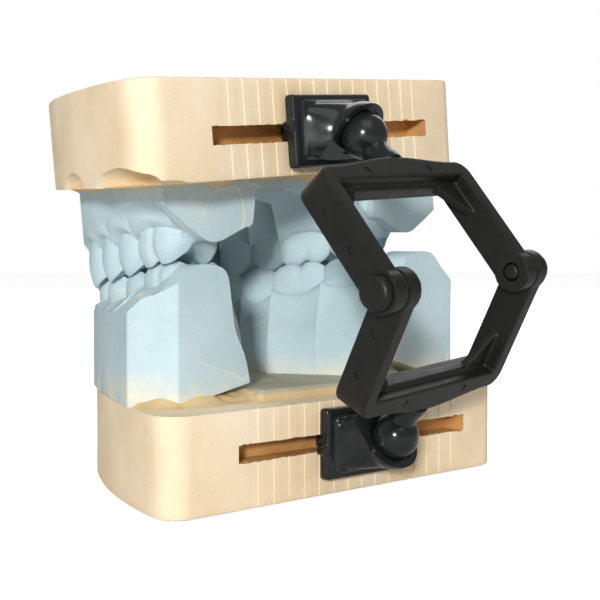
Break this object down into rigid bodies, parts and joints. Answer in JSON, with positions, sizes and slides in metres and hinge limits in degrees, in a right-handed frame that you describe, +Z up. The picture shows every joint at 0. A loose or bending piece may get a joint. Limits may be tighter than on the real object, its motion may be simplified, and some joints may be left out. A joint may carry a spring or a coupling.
{
  "type": "dental articulator with mounted casts",
  "caption": "Hinged plastic dental articulator with ball joints on sliding sockets, holding an upper and a lower stone dental cast on moulded bases.",
  "frame": {"origin": "middle of the lower base's flat underside", "axes": "+Z up, +Y towards the front teeth, -Y towards the hinge, +X to the right seen from the hinge side"},
  "size_m": [0.0842, 0.0929, 0.0727],
  "materials": {
    "yellow_stone": "cast dental stone, matt",
    "blue_stone": "cast dental stone, matt",
    "matt_black": "moulded, satin",
    "gloss_black": "moulded, glossy"
  },
  "bodies": {
    "lower_model": {"lower_base": "yellow_stone", "lower_cast": "blue_stone"},
    "lower_socket": {"lower_socket_plate": "gloss_black"},
    "lower_ball_body": {"lower_ball": "gloss_black"},
    "lower_frame_body": {"lower_frame": "matt_black", "lower_ball_stud": "gloss_black", "left_hinge_pin": "matt_black", "right_hinge_pin": "matt_black"},
    "upper_frame_body": {"upper_frame": "matt_black", "upper_ball_stud": "gloss_black"},
    "upper_ball_body": {"upper_ball": "gloss_black"},
    "upper_socket": {"upper_socket_plate": "gloss_black"},
    "upper_model": {"upper_base": "yellow_stone", "upper_cast": "blue_stone"}
  },
  "joints": [
    {"name": "lower_socket_slide", "type": "slide", "parent": "lower_model", "child": "lower_socket", "axis": [1, 0, 0], "range_m": [-0.012, 0.003]},
    {"name": "lower_ball_pitch", "type": "hinge", "parent": "lower_socket", "child": "lower_ball_body", "pos_m": [0.00067, -0.03997, 0.00996], "axis": [1, 0, 0], "range_deg": [0, 14]},
    {"name": "lower_ball_swing", "type": "hinge", "parent": "lower_ball_body", "child": "lower_frame_body", "pos_m": [0.00067, -0.03997, 0.00996], "axis": [-0.0807, 0.0705, 0.9942], "range_deg": [-10, 10]},
    {"name": "main_hinge", "type": "hinge", "parent": "lower_frame_body", "child": "upper_frame_body", "pos_m": [-0.00014, -0.05404, 0.03571], "axis": [0.994, 0.08, 0.075], "range_deg": [0, 125]},
    {"name": "upper_ball_swing", "type": "hinge", "parent": "upper_frame_body", "child": "upper_ball_body", "pos_m": [-0.00331, -0.03649, 0.05903], "axis": [-0.0807, 0.0705, 0.9942], "range_deg": [-10, 10]},
    {"name": "upper_ball_pitch", "type": "hinge", "parent": "upper_ball_body", "child": "upper_socket", "pos_m": [-0.00331, -0.03649, 0.05903], "axis": [1, 0, 0], "range_deg": [0, 14]},
    {"name": "upper_socket_slide", "type": "slide", "parent": "upper_socket", "child": "upper_model", "axis": [0.9915, 0.0817, 0.1011], "range_m": [-0.003, 0.012]}
  ],
  "couplings": [
    {"joint": "upper_ball_swing", "follows": "lower_ball_swing", "ratio": -1},
    {"joint": "upper_socket_slide", "follows": "lower_socket_slide", "ratio": -1}
  ]
}
